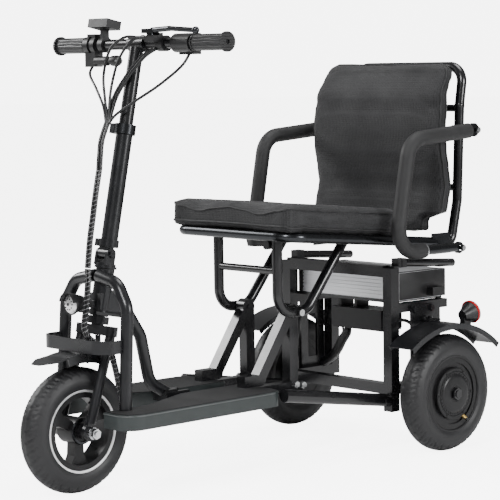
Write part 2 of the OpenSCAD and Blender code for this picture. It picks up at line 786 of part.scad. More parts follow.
// backrest frame with its board
module back_loop() color("dimgray") difference() {
        union() {
            both() at_side(165) tube([[458, 443.5], [510, 446], [532, 542], [541, 754]], 26, seat_tube_d);
            translate([0, 541, 754]) rotate([-9, 0, 0]) rotate([90, 0, 0])
                tube([[-165, 0], [-165, 88], [165, 88], [165, 0]], 38, seat_tube_d);
            both() translate([165, 541, 754]) sphere(d = 23.4, $fn = 48);
            rod(-164, 164, 16, 534, 570);
            rod(-164, 164, 16, 541, 748);
            // stand-offs and board
            for (x = [-90, 90]) {
                block([x - 8, 484, 563], [x + 8, 531, 577]);
                block([x - 8, 476, 741.5], [x + 8, 538, 754.5]);
            }
            both() block([171, 508, 692], [178, 545, 711]);
            both() rod(172, 242, 8, pivot_e[0], pivot_e[1]);
            both() hex(237, 242, 13, pivot_e[0], pivot_e[1]);
        }
        both() rod(140, 190, 8.1, pivot_d[0], pivot_d[1]);
}

module back_cushion() color("#222") difference() {
    intersection() {
        at_side(-back_x) linear_extrude(2 * back_x)
            polygon([[411, 474], [415, 500], [431, 527], [440, 580], [433, 611], [424, 663], [422, 703],
                [430, 771], [464, 838], [473, 851], [510, 852], [506, 836], [476, 775], [466, 703], [468, 663],
                [477, 611], [483.8, 580], [475, 527], [458, 500], [452, 474]]);
        translate([0, 560, 0]) rotate([90, 0, 0]) linear_extrude(200) difference() {
            polygon([[-back_x, 474], [back_x, 474], [back_x, 703], [197, 771], [178, 853], [-178, 853],
                [-197, 771], [-back_x, 703]]);
            for (s = [-1, 1]) difference() {
                translate([s > 0 ? 142 : -185, 815]) square([43, 40]);
                translate([s * 144, 817]) circle(r = 36, $fn = 64);
            }
        }
    }
    // clears the seat side tubes when folded
    both() block([156, 380, 460], [220, 520, 503]);
}

module arm_tube() difference() {
    union() {
        at_side(arm_x) tube(arm_tube_path, 50, arm_tube_d);
        rod(arm_x - 4, arm_x + 4, 30, pivot_e[0], pivot_e[1]);
        rod(arm_x - 4, arm_x + 4, 26, pivot_d[0], pivot_d[1]);
    }
    rod(200, 260, 8.1, pivot_e[0], pivot_e[1]);
    rod(200, 260, 8.6, pivot_d[0], pivot_d[1]);
    // slot open to the rear so that the lower end swings off its bolt
    block([200, pivot_d[0], pivot_d[1] - 7.6], [260, pivot_d[0] + 30, pivot_d[1] + 4.3]);
    block([arm_x + 4, 500, 680], [arm_x + 30, 545, 730]);
    block([arm_x - 30, 500, 680], [arm_x - 4, 545, 730]);
}
module arm_foam() difference() {
    at_side(arm_x) tube(arm_path, 50, foam_d);
    at_side(arm_x) tube(arm_tube_path, 50, arm_tube_d);
}
module arm_left() color("silver") arm_tube();
module arm_right() color("silver") mirror([1, 0, 0]) arm_tube();
module foam_left() color("black") arm_foam();
module foam_right() color("black") mirror([1, 0, 0]) arm_foam();

module battery() color("silver") translate([battery_x, battery_y, battery_z]) difference() {
    union() {
        block([-battery_len / 2, -battery_d / 2, 0], [battery_len / 2, battery_d / 2, battery_h]);
        block([-battery_len / 2 - 3, -24, 6], [-battery_len / 2, 24, 54]);
    }
    // ribs of the extrusion
    for (z = [10 : 8 : 50]) for (s = [-1, 1])
        block([-battery_len / 2 + 14, s > 0 ? battery_d / 2 - 1.5 : -battery_d / 2 - 1, z],
            [battery_len / 2 - 14, s > 0 ? battery_d / 2 + 1 : -battery_d / 2 + 1.5, z + 3]);
}

head_tube();
arch_left();
arch_right();
down_tube();
bumper();
spine();
footboards();
struts();
strut_bolts();
rails();
posts();
cross_beams();
rear_arms();
axle_plates();
rear_fenders();
tail_lights();
carriers();
battery_tray();
controller();
motor_leads();
cable_foot();
fork();
front_fender();
front_axle();
yoke();
cable_low();
front_tyre();
front_rim();
tyre_left();
hub_left();
tyre_right();
hub_right();
stem_lower();
stem_clamp();
latch_lever();
clamp_lever();
stem_upper();
handlebar();
grips();
display();
brake_perch();
brake_blade();
throttle_pod();
throttle_paddle();
switch_pod();
horn_button();
key();
cable_top();
headlight();
seat_loop();
seat_pan();
u_tubes();
seat_cushion();
back_loop();
back_cushion();
arm_left();
foam_left();
arm_right();
foam_right();
battery();
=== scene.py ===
import math
import bmesh
import bpy
from mathutils import Matrix, Vector
from mathutils.bvhtree import BVHTree


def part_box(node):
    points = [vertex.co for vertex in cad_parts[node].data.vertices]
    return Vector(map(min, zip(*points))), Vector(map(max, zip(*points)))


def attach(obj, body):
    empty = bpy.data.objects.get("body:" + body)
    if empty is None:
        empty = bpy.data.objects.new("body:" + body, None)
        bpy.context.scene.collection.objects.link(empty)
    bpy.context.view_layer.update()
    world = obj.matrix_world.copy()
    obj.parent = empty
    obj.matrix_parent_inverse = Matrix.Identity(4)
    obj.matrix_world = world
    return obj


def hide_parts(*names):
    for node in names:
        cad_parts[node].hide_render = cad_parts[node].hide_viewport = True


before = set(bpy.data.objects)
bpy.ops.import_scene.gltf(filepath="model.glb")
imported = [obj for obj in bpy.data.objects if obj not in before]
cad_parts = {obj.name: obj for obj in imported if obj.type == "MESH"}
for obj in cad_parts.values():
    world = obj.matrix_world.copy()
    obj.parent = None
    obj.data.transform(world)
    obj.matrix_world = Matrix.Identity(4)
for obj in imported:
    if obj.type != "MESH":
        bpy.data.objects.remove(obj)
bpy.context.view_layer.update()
MM = 0.001
scene = bpy.context.scene

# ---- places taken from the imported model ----

front_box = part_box("front_tyre")
rear_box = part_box("tyre_left")
FRONT_HUB = (Vector(front_box[0]) + Vector(front_box[1])) / 2
REAR_HUB = (Vector(rear_box[0]) + Vector(rear_box[1])) / 2
FRONT_RADIUS = (front_box[1][2] - front_box[0][2]) / 2
REAR_RADIUS = (rear_box[1][2] - rear_box[0][2]) / 2
TYRE_HALF = (front_box[1][0] - front_box[0][0]) / 2
SEAT_SLOPE = math.radians(-5.1)
SEAT_PLACE = Matrix.Translation((0, -0.025, 0.5076)) @ Matrix.Rotation(SEAT_SLOPE, 4, "X")


# ---- materials ----

def start_finish(name):
    mat = bpy.data.materials.new(name)
    mat.use_nodes = True
    nodes, links = mat.node_tree.nodes, mat.node_tree.links
    shader = nodes["Principled BSDF"]
    coord = nodes.new("ShaderNodeTexCoord")
    return mat, nodes, links, shader, coord


def add_noise(nodes, links, coord, scale, detail=4.0, rough=0.55):
    noise = nodes.new("ShaderNodeTexNoise")
    noise.inputs["Scale"].default_value = scale
    noise.inputs["Detail"].default_value = detail
    noise.inputs["Roughness"].default_value = rough
    links.new(coord.outputs["Object"], noise.inputs["Vector"])
    return noise


def add_range(nodes, links, source, low, high, start=0.3, stop=0.7):
    span = nodes.new("ShaderNodeMapRange")
    span.inputs["From Min"].default_value = start
    span.inputs["From Max"].default_value = stop
    span.inputs["To Min"].default_value = low
    span.inputs["To Max"].default_value = high
    links.new(source, span.inputs["Value"])
    return span


def add_bump(nodes, links, source, shader, strength, distance, before=None):
    bump = nodes.new("ShaderNodeBump")
    bump.inputs["Strength"].default_value = strength
    bump.inputs["Distance"].default_value = distance
    links.new(source, bump.inputs["Height"])
    if before:
        links.new(before.outputs["Normal"], bump.inputs["Normal"])
    links.new(bump.outputs["Normal"], shader.inputs["Normal"])
    return bump


def tint(nodes, links, source, dark, light, shader, start=0.3, stop=0.7):
    ramp = nodes.new("ShaderNodeValToRGB")
    ramp.color_ramp.elements[0].position = start
    ramp.color_ramp.elements[1].position = stop
    ramp.color_ramp.elements[0].color = (*dark, 1)
    ramp.color_ramp.elements[1].color = (*light, 1)
    links.new(source, ramp.inputs["Fac"])
    links.new(ramp.outputs["Color"], shader.inputs["Base Color"])
    return ramp


def worn_surface(name, dark, light, rough, metal=0.0, grain=900.0, blotch=14.0, bump=0.08, coat=0.0):
    """painted, plastic or metal surface with fine grain and soft blotches"""
    mat, nodes, links, shader, coord = start_finish(name)
    big = add_noise(nodes, links, coord, blotch)
    fine = add_noise(nodes, links, coord, grain, 2.0)
    tint(nodes, links, big.outputs["Fac"], dark, light, shader)
    spread = add_range(nodes, links, big.outputs["Fac"], rough[0], rough[1])
    links.new(spread.outputs["Result"], shader.inputs["Roughness"])
    shader.inputs["Metallic"].default_value = metal
    shader.inputs["Coat Weight"].default_value = coat
    shader.inputs["Coat Roughness"].default_value = 0.25
    add_bump(nodes, links, fine.outputs["Fac"], shader, bump, 0.0004)
    return mat


def mesh_cloth(name, thread, gap, cell):
    """knitted spacer mesh with small open cells"""
    mat, nodes, links, shader, coord = start_finish(name)
    cells = nodes.new("ShaderNodeTexVoronoi")
    cells.feature = "DISTANCE_TO_EDGE"
    cells.inputs["Scale"].default_value = 1 / cell
    cells.inputs["Randomness"].default_value = 0.25
    links.new(coord.outputs["Object"], cells.inputs["Vector"])
    tint(nodes, links, cells.outputs["Distance"], thread, gap, shader, 0.06, 0.3)
    fuzz = add_noise(nodes, links, coord, 1400, 2.0)
    broad = add_noise(nodes, links, coord, 9, 3.0)
    spread = add_range(nodes, links, broad.outputs["Fac"], 0.62, 0.85)
    links.new(spread.outputs["Result"], shader.inputs["Roughness"])
    shader.inputs["Sheen Weight"].default_value = 0.06
    shader.inputs["Sheen Roughness"].default_value = 0.45
    first = add_bump(nodes, links, fuzz.outputs["Fac"], shader, 0.15, 0.0005)
    depth = add_range(nodes, links, cells.outputs["Distance"], 1.0, 0.0, 0.02, 0.3)
    add_bump(nodes, links, depth.outputs["Result"], shader, 0.55, 0.0012, first)
    return mat


def spun_metal(name, colour, rough, scale=(4, 400, 400)):
    """turned or brushed metal with fine lines"""
    mat, nodes, links, shader, coord = start_finish(name)
    place = nodes.new("ShaderNodeMapping")
    place.inputs["Scale"].default_value = scale
    links.new(coord.outputs["Object"], place.inputs["Vector"])
    lines = nodes.new("ShaderNodeTexNoise")
    lines.inputs["Scale"].default_value = 3
    lines.inputs["Detail"].default_value = 5
    links.new(place.outputs["Vector"], lines.inputs["Vector"])
    tint(nodes, links, lines.outputs["Fac"], [c * 0.82 for c in colour], colour, shader)
    spread = add_range(nodes, links, lines.outputs["Fac"], rough, rough + 0.14)
    links.new(spread.outputs["Result"], shader.inputs["Roughness"])
    shader.inputs["Metallic"].default_value = 1.0
    add_bump(nodes, links, lines.outputs["Fac"], shader, 0.06, 0.0003)
    return mat


def tread_plate(name):
    """moulded anti-slip top with small raised pips"""
    mat, nodes, links, shader, coord = start_finish(name)
    pips = nodes.new("ShaderNodeTexVoronoi")
    pips.inputs["Scale"].default_value = 330
    pips.inputs["Randomness"].default_value = 0.2
    links.new(coord.outputs["Object"], pips.inputs["Vector"])
    broad = add_noise(nodes, links, coord, 12)
    tint(nodes, links, broad.outputs["Fac"], (0.009, 0.0095, 0.01), (0.015, 0.0155, 0.016), shader)
    shader.inputs["Roughness"].default_value = 0.62
    height = add_range(nodes, links, pips.outputs["Distance"], 1.0, 0.0, 0.1, 0.5)
    add_bump(nodes, links, height.outputs["Result"], shader, 0.6, 0.0008)
    return mat


def clear_red(name):
    mat, nodes, links, shader, coord = start_finish(name)
    ribs = nodes.new("ShaderNodeTexWave")
    ribs.inputs["Scale"].default_value = 180
    links.new(coord.outputs["Object"], ribs.inputs["Vector"])
    tint(nodes, links, ribs.outputs["Fac"], (0.45, 0.008, 0.01), (0.75, 0.02, 0.02), shader, 0.2, 0.8)
    shader.inputs["Roughness"].default_value = 0.12
    shader.inputs["Coat Weight"].default_value = 0.6
    add_bump(nodes, links, ribs.outputs["Fac"], shader, 0.25, 0.0004)
    return mat


graphite = worn_surface("graphite_paint", (0.010, 0.0105, 0.012), (0.016, 0.0165, 0.019),
                        (0.26, 0.36), 0.4, 1500, 18, 0.08, 0.3)
black_tube = worn_surface("black_gloss_paint", (0.006, 0.006, 0.0075), (0.011, 0.011, 0.012),
                          (0.18, 0.28), 0.3, 1200, 20, 0.05, 0.4)
black_plastic = worn_surface("black_plastic", (0.006, 0.006, 0.0065), (0.011, 0.011, 0.012),
                             (0.34, 0.48), 0.0, 1600, 30, 0.2)
deck_plastic = worn_surface("deck_band", (0.022, 0.028, 0.028), (0.03, 0.037, 0.037),
                            (0.36, 0.46), 0.0, 1100, 16, 0.15)
trim_line = worn_surface("deck_trim", (0.07, 0.078, 0.078), (0.1, 0.108, 0.108),
                         (0.35, 0.5), 0.0, 1100, 16, 0.1)
foam = worn_surface("closed_cell_foam", (0.006, 0.006, 0.0065), (0.011, 0.011, 0.012),
                    (0.55, 0.68), 0.0, 2200, 40, 0.4)
tyre_rubber = worn_surface("tyre_rubber", (0.008, 0.008, 0.009), (0.014, 0.014, 0.0155),
                           (0.42, 0.56), 0.0, 1500, 22, 0.25)
sheath = worn_surface("cable_sheath", (0.006, 0.006, 0.0065), (0.011, 0.011, 0.012),
                      (0.28, 0.4), 0.0, 900, 30, 0.12)
# spiral wrap ribbon: the wrap itself is real, but its light grey is a painted highlight standing in for the glints
# along it
wrap_grey_painted_glint = worn_surface("spiral_wrap_painted_glint", (0.2, 0.2, 0.21), (0.36, 0.36, 0.37), (0.35, 0.5), 0.0, 900, 60, 0.1)
motor_black = worn_surface("motor_casting", (0.006, 0.006, 0.0065), (0.011, 0.011, 0.012),
                           (0.3, 0.42), 0.3, 1300, 26, 0.2)
bright = spun_metal("bright_steel", (0.78, 0.79, 0.8), 0.16)
white_lip = spun_metal("machined_rim", (0.96, 0.96, 0.97), 0.42, (300, 30, 30))
tube_metal = spun_metal("dark_chrome", (0.05, 0.052, 0.056), 0.2)
battery_alloy = spun_metal("ribbed_alloy", (0.86, 0.87, 0.89), 0.38, (4, 300, 300))
brass = spun_metal("brass", (0.8, 0.56, 0.2), 0.25)
reflector = spun_metal("lamp_reflector", (0.95, 0.95, 0.96), 0.3, (200, 200, 200))
mesh_black = mesh_cloth("air_mesh", (0.013, 0.013, 0.0145), (0.004, 0.004, 0.0045), 0.0046)
piping_cloth = worn_surface("piping", (0.008, 0.008, 0.0085), (0.014, 0.014, 0.015),
                            (0.5, 0.65), 0.0, 1800, 60, 0.3)
deck_top = tread_plate("deck_top")
lens_red = clear_red("red_lens")
button_red = worn_surface("red_button", (0.35, 0.01, 0.01), (0.5, 0.02, 0.02), (0.3, 0.45), 0.0, 900, 40, 0.1)


def ribbed_rubber(name):
    """grip rubber with long wavy ribs along the bar"""
    mat, nodes, links, shader, coord = start_finish(name)
    place = nodes.new("ShaderNodeMapping")
    place.inputs["Scale"].default_value = (0.35, 1, 1)
    links.new(coord.outputs["Object"], place.inputs["Vector"])
    ribs = nodes.new("ShaderNodeTexWave")
    ribs.bands_direction = "Z"
    ribs.inputs["Scale"].default_value = 60
    ribs.inputs["Distortion"].default_value = 2.5
    ribs.inputs["Detail"].default_value = 1
    links.new(place.outputs["Vector"], ribs.inputs["Vector"])
    tint(nodes, links, ribs.outputs["Fac"], (0.004, 0.004, 0.0045), (0.012, 0.012, 0.013), shader, 0.2, 0.7)
    spread = add_range(nodes, links, ribs.outputs["Fac"], 0.36, 0.52)
    links.new(spread.outputs["Result"], shader.inputs["Roughness"])
    add_bump(nodes, links, ribs.outputs["Fac"], shader, 0.7, 0.0014)
    return mat


grip_rubber = ribbed_rubber("grip_rubber")

NODE_FINISH = {
    graphite: ["head_tube", "arch_left", "arch_right", "down_tube", "bumper", "fork", "front_fender",
               "rear_fenders", "yoke", "stem_lower"],
    black_tube: ["spine", "struts", "rails", "posts", "cross_beams", "rear_arms", "axle_plates", "carriers",
                 "stem_upper", "handlebar", "back_loop", "u_tubes", "battery_tray"],
    black_plastic: ["tail_lights", "latch_lever", "clamp_lever", "display", "brake_perch", "throttle_pod",
                    "throttle_paddle", "switch_pod", "headlight", "seat_pan"],
    deck_plastic: ["footboards"],
    foam: ["foam_left", "foam_right"],
    grip_rubber: ["grips"],
    motor_black: ["hub_left", "hub_right", "front_rim", "controller"],
    bright: ["strut_bolts", "front_axle", "key"],
    tube_metal: ["seat_loop", "arm_left", "arm_right", "stem_clamp", "brake_blade"],
    battery_alloy: ["battery"],
    button_red: ["horn_button"],
    sheath: ["motor_leads", "cable_foot", "cable_low", "cable_top"],
    tyre_rubber: ["front_tyre", "tyre_left", "tyre_right"],
    mesh_black: ["seat_cushion", "back_cushion"],
}
for finish, names in NODE_FINISH.items():
    for name in names:
        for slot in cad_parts[name].material_slots:
            slot.material = finish


# ---- mesh helpers ----

def link_piece(name, bm, body, finish, sharp=35.0, recalc=True):
    if recalc:
        bmesh.ops.recalc_face_normals(bm, faces=bm.faces)
    mesh = bpy.data.meshes.new(name)
    bm.to_mesh(mesh)
    bm.free()
    mesh.materials.append(finish)
    for face in mesh.polygons:
        face.use_smooth = True
    mesh.set_sharp_from_angle(angle=math.radians(sharp))
    obj = bpy.data.objects.new(name, mesh)
    scene.collection.objects.link(obj)
    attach(obj, body)
    return obj


def lathe(profile, steps=96, centre=(0, 0, 0), axis="X"):
    """turns (along, radius) points round an axis"""
    bm = bmesh.new()
    made = [bm.verts.new((a * MM, r * MM, 0)) for a, r in profile]
    edges = [bm.edges.new(pair) for pair in zip(made, made[1:])]
    bmesh.ops.spin(bm, geom=made + edges, axis=(1, 0, 0), cent=(0, 0, 0), angle=math.tau,
                   steps=steps, use_merge=True)
    bmesh.ops.remove_doubles(bm, verts=bm.verts, dist=1e-6)
    turn = {"X": Matrix.Identity(3), "Y": Matrix.Rotation(math.pi / 2, 3, "Z")}[axis]
    bmesh.ops.transform(bm, matrix=Matrix.Translation(centre) @ turn.to_4x4(), verts=bm.verts)
    return bm


def add_block(bm, low, high, bevel=0.0, matrix=None):
    low, high = Vector(low) * MM, Vector(high) * MM
    made = bmesh.ops.create_cube(bm, size=1.0)["verts"]
    bmesh.ops.scale(bm, vec=high - low, verts=made)
    bmesh.ops.translate(bm, vec=(low + high) / 2, verts=made)
    if bevel:
        edges = list({e for v in made for e in v.link_edges})
        out = bmesh.ops.bevel(bm, geom=edges, offset=bevel * MM, segments=2, profile=0.5, affect="EDGES", material=-1)
        made = list({v for f in out["faces"] for v in f.verts} | {v for v in made if v.is_valid})
    if matrix:
        bmesh.ops.transform(bm, matrix=matrix, verts=made)
    return made


def add_turned(bm, a, b, radius, sides=24, radius_b=None):
    """cylinder or cone from point a to point b"""
    a, b = Vector(a) * MM, Vector(b) * MM
    rb = radius if radius_b is None else radius_b
    made = bmesh.ops.create_cone(bm, cap_ends=True, segments=sides, radius1=radius * MM, radius2=rb * MM,
                                 depth=(b - a).length)["verts"]
    turn = (b - a).to_track_quat("Z", "Y").to_matrix().to_4x4()
    bmesh.ops.transform(bm, matrix=Matrix.Translation((a + b) / 2) @ turn, verts=made)
    return made


def smooth_route(points, steps):
    """points on a curve through the given route, in metres"""
    p = [Vector(q) * MM for q in points]
    out = []
    for i in range(len(p) - 1):
        a, b, c, d = p[max(i - 1, 0)], p[i], p[i + 1], p[min(i + 2, len(p) - 1)]
        for k in range(steps):
            t = k / steps
            out.append(0.5 * (2 * b + (c - a) * t + (2 * a - 5 * b + 4 * c - d) * t * t
                              + (3 * b - a - 3 * c + d) * t ** 3))
    return out + [p[-1]]


def cable(name, points, radius, body, finish, closed=False, sides=3):
    """round cable, cord or piping along points in metres"""
    data = bpy.data.curves.new(name, "CURVE")
    data.dimensions = "3D"
    data.bevel_depth = radius * MM
    data.bevel_resolution = sides
    data.use_fill_caps = True
    line = data.splines.new("POLY")
    line.points.add(len(points) - 1)
    for spot, place in zip(line.points, points):
        spot.co = (*place, 1)
    line.use_cyclic_u = closed
    line.use_smooth = True
    data.materials.append(finish)
    obj = bpy.data.objects.new(name, data)
    scene.collection.objects.link(obj)
    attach(obj, body)
    return obj


def spiral(points, radius, pitch, phase=0.0):
    """helix round a route of points in metres"""
    out, angle = [], phase
    side = Vector((1, 0, 0))
    for a, b in zip(points, points[1:]):
        along = (b - a).normalized()
        side = (side - along * side.dot(along)).normalized()
        other = along.cross(side)
        span = (b - a).length
        count = max(2, int(span / (pitch * MM / 10)))
        for k in range(count):
            spot = a.lerp(b, k / count)
            out.append(spot + (side * math.cos(angle) + other * math.sin(angle)) * radius * MM)
            angle += math.tau * span / count / (pitch * MM)
    return out


# ---- camera, light and floor ----

camera_data = bpy.data.cameras.new("camera")
camera_data.lens = 143.04
camera_data.sensor_width = 36
camera = bpy.data.objects.new("camera", camera_data)
scene.collection.objects.link(camera)
right = Vector((0.68025155, 0.73285514, -0.01345981))
up = Vector((-0.05715207, 0.07133912, 0.99581342))
back = Vector((0.7307472, -0.67663437, 0.09041274))
camera.matrix_world = Matrix.Translation((3.12023, -2.84146, 0.84024)) @ Matrix((right, up, back)).transposed().to_4x4()
camera_data.clip_end = 100
scene.camera = camera


def soft_light(name, place, aim, size, power):
    data = bpy.data.lights.new(name, "AREA")
    data.size = size
    data.energy = power
    obj = bpy.data.objects.new(name, data)
    obj.location = place
    obj.rotation_mode = "QUATERNION"
    obj.rotation_quaternion = (Vector(aim) - Vector(place)).to_track_quat("-Z", "Y")
    scene.collection.objects.link(obj)


soft_light("key_light", (1.6, -3.2, 3.0), (0, 0, 0.4), 0.9, 125)
soft_light("fill_light", (3.6, 0.8, 1.6), (0, 0.1, 0.5), 1.0, 90)
soft_light("far_light", (-3.0, -1.2, 2.2), (0, 0, 0.5), 1.2, 90)
soft_light("top_light", (0.2, 0.6, 3.6), (0, 0.1, 0.4), 1.8, 80)


def white_for_camera(tree, strength):
    """white light that only the camera sees directly"""
    path = tree.nodes.new("ShaderNodeLightPath")
    glow = tree.nodes.new("ShaderNodeMath")
    glow.operation = "MULTIPLY"
    glow.inputs[1].default_value = strength
    tree.links.new(path.outputs["Is Camera Ray"], glow.inputs[0])
    return glow

world = bpy.data.worlds.new("studio")
world.use_nodes = True
world.node_tree.nodes["Background"].inputs["Color"].default_value = (1, 1, 1, 1)
glow = white_for_camera(world.node_tree, 6.0)
level = world.node_tree.nodes.new("ShaderNodeMath")
level.operation = "ADD"
level.inputs[1].default_value = 0.28
world.node_tree.links.new(glow.outputs["Value"], level.inputs[0])
world.node_tree.links.new(level.outputs["Value"], world.node_tree.nodes["Background"].inputs["Strength"])
scene.world = world

floor_mesh = bmesh.new()
bmesh.ops.create_grid(floor_mesh, x_segments=1, y_segments=1, size=40)
floor_data = bpy.data.meshes.new("floor")
floor_mesh.to_mesh(floor_data)
floor_mesh.free()
floor = bpy.data.objects.new("floor", floor_data)
floor_finish, nodes, links, shader, coord = start_finish("floor_paper")
paper = add_noise(nodes, links, coord, 3)
tint(nodes, links, paper.outputs["Fac"], (0.9, 0.9, 0.9), (0.93, 0.93, 0.93), shader)
shader.inputs["Roughness"].default_value = 0.9
shader.inputs["Emission Color"].default_value = (1, 1, 1, 1)
glow = white_for_camera(floor_finish.node_tree, 5.8)
links.new(glow.outputs["Value"], shader.inputs["Emission Strength"])
floor_data.materials.append(floor_finish)
scene.collection.objects.link(floor)


# ---- wheels ----

GROOVES = 34
TREAD_STEPS = GROOVES * 12


def treaded_tyre(name, node, hub, radius, body):
    """tyre with slanted grooves across a round tread"""
    half = TYRE_HALF / MM
    middle = radius / MM - half
    count = 44
    profile = []
    for k in range(count + 1):
        a = math.radians(-146 + 292 * k / count)
        profile.append((math.sin(a) * half, middle + math.cos(a) * half))
    bm = bmesh.new()
    made = [bm.verts.new((x * MM, r * MM, 0)) for x, r in profile]
    made.append(bm.verts.new((made[-1].co.x, 80.6 * MM, 0)))
    made.insert(0, bm.verts.new((made[0].co.x, 80.6 * MM, 0)))
    edges = [bm.edges.new(pair) for pair in zip(made, made[1:])]
    bmesh.ops.spin(bm, geom=made + edges, axis=(1, 0, 0), cent=(0, 0, 0), angle=math.tau,
                   steps=TREAD_STEPS, use_merge=True)
    for v in bm.verts:
        r = math.hypot(v.co.y, v.co.z)
        lean = math.degrees(math.atan2(v.co.x / MM, r / MM - middle))
        turn = math.atan2(v.co.z, v.co.y) / math.tau * GROOVES
        away = abs(lean)
        cut = 0.0
        if 7 < away < 56:
            phase = (turn + away / 56 * 0.9 + (0.5 if lean > 0 else 0)) % 1
            cut = 1.9 if phase < 0.15 else 0.0
            if 0.52 < phase < 0.66 and 26 < away < 40:
                cut = 1.3
        elif away <= 3:
            cut = 1.2
        if 66 < away < 69 or 112 < away < 116:
            cut = 0.7
        if cut:
            shrink = (r - cut * MM * math.cos(math.radians(lean))) / r
            v.co.y *= shrink
            v.co.z *= shrink
            v.co.x -= cut * MM * math.sin(math.radians(lean))
    bmesh.ops.translate(bm, vec=hub, verts=bm.verts)
    obj = link_piece(name, bm, body, tyre_rubber, 50)
    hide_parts(node)
    return obj


def lip_ring(name, hub, side, body, finish, r0=80.0, r1=86.0, out=25.0):
    bm = lathe([(side * (out - 1), r0), (side * (out + 1.6), r0 + 0.8), (side * (out + 2.4), r0 + 2.6),
                (side * (out + 1.6), r1 - 0.6), (side * (out - 1), r1), (side * (out - 1), r0)], 128, hub)
    obj = link_piece(name, bm, body, finish, 40)
    return obj


treaded_tyre("front_tyre_treaded", "front_tyre", FRONT_HUB, FRONT_RADIUS, "front_wheel")
treaded_tyre("left_tyre_treaded", "tyre_left", REAR_HUB, REAR_RADIUS, "wheel_left")
far_hub = Vector((-REAR_HUB.x, REAR_HUB.y, REAR_HUB.z))
treaded_tyre("right_tyre_treaded", "tyre_right", far_hub, REAR_RADIUS, "wheel_right")
for side in (-1, 1):
    tag = "left" if side > 0 else "right"
    lip_ring("front_lip_" + tag, FRONT_HUB, side, "front_wheel", white_lip, 78.5, 86.5)
    bm = lathe([(side * 24, 20), (side * 27, 21), (side * 27, 25.5), (side * 24, 27)], 64, FRONT_HUB)
    link_piece("front_hub_ring_" + tag, bm, "front_wheel", tube_metal)
    hub = REAR_HUB if side > 0 else far_hub
    body = "wheel_left" if side > 0 else "wheel_right"
    lip_ring("rear_lip_" + tag, hub, side, body, motor_black, 79, 86)
    # stepped motor cover with fins and screws
    steps = [(27, 57.5), (30, 57), (31.5, 55), (31.5, 50), (30, 48.5), (30, 44), (33, 41), (34, 36), (34, 17),
             (32, 15), (30, 13)]
    bm = lathe([(side * along, r) for along, r in steps], 96, hub)
    link_piece("motor_cover_" + tag, bm, body, motor_black)
    bm = bmesh.new()
    for k in range(36):
        add_block(bm, (29.5 if side > 0 else -32.2, -0.9, 20), (32.2 if side > 0 else -29.5, 0.9, 46), 0.3,
                  Matrix.Translation(hub) @ Matrix.Rotation(math.tau * k / 36, 4, "X"))
    link_piece("motor_fins_" + tag, bm, body, motor_black)
    bm = bmesh.new()
    for k in range(6):
        m = Matrix.Rotation(math.tau * (k + 0.5) / 6, 4, "X")
        spot = Vector(hub) / MM + m @ Vector((0, 0, 52.5))
        add_turned(bm, spot + Vector((side * 30, 0, 0)), spot + Vector((side * 33, 0, 0)), 2.6, 6)
    link_piece("motor_screws_" + tag, bm, body, motor_black)
    bm = bmesh.new()
    base = Vector(hub) / MM
    add_turned(bm, base + Vector((side * 25, 29, -51)), base + Vector((side * 34, 33, -58)), 4.1, 20)
    link_piece("valve_stem_" + tag, bm, body, brass)
    bm = bmesh.new()
    add_turned(bm, base + Vector((side * 34, 33, -58)), base + Vector((side * 38.5, 35, -61.5)), 4.3, 20)
    link_piece("valve_cap_" + tag, bm, body, black_plastic)


# ---- cushions ----

def blend_table(x, table):
    for (a, u), (b, v) in zip(table, table[1:]):
        if x <= b:
            t = (x - a) / (b - a)
            t = t * t * (3 - 2 * t)
            return u + (v - u) * max(0, min(1, t))
    return table[-1][1]


def stuff_pad(obj, cap, pressure):
    """fills a closed cloth shell with pressure, then limits how far it may swell"""
    remesh = obj.modifiers.new("even_mesh", "REMESH")
    remesh.mode = "VOXEL"
    remesh.voxel_size = 0.0052
    mesh = bpy.data.meshes.new_from_object(obj.evaluated_get(bpy.context.evaluated_depsgraph_get()))
    obj.modifiers.clear()
    obj.data = mesh
    start = [v.co.copy() for v in mesh.vertices]
    cloth = obj.modifiers.new("stuffing", "CLOTH")
    cloth.settings.use_pressure = True
    cloth.settings.uniform_pressure_force = pressure
    cloth.settings.effector_weights.gravity = 0
    cloth.settings.quality = 4
    cloth.settings.tension_stiffness = 20
    cloth.settings.compression_stiffness = 20
    cloth.settings.bending_stiffness = 1.5
    cloth.point_cache.frame_start = 1
    cloth.point_cache.frame_end = 20
    for number in range(1, 17):
        scene.frame_set(number)
    full = bpy.data.meshes.new_from_object(obj.evaluated_get(bpy.context.evaluated_depsgraph_get()))
    obj.modifiers.clear()
    for v, home in zip(full.vertices, start):
        move = v.co - home
        if move.length > cap:
            move *= cap / move.length
        v.co = home + move
    obj.data = full
    scene.frame_set(1)
    for face in obj.data.polygons:
        face.use_smooth = True
    finer = obj.modifiers.new("finer", "SUBSURF")
    finer.levels = finer.render_levels = 1


def closed_pad(name, place, body, finish, across=48, along=44):
    """closed pad from a grid: place maps the grid's (u, v) to its front and to its back"""
    bm = bmesh.new()
    bmesh.ops.create_grid(bm, x_segments=across, y_segments=along, size=1.0)
    front = {v: v.co.copy() for v in bm.verts}
    out = bmesh.ops.extrude_face_region(bm, geom=bm.faces[:], use_keep_orig=True)
    moved = [e for e in out["geom"] if isinstance(e, bmesh.types.BMVert)]
    for v in moved:
        v.co = place(v.co.x, v.co.y, True)
    for v, home in front.items():
        v.co = place(home.x, home.y, False)
    bmesh.ops.remove_doubles(bm, verts=bm.verts, dist=1e-6)
    return link_piece(name, bm, body, finish, 60)


SEAT_ACROSS = [(0, 55), (40, 51), (95, 43), (150, 52), (176, 56), (188, 54)]
SEAT_HALF, SEAT_LONG = 186.0, 348.0


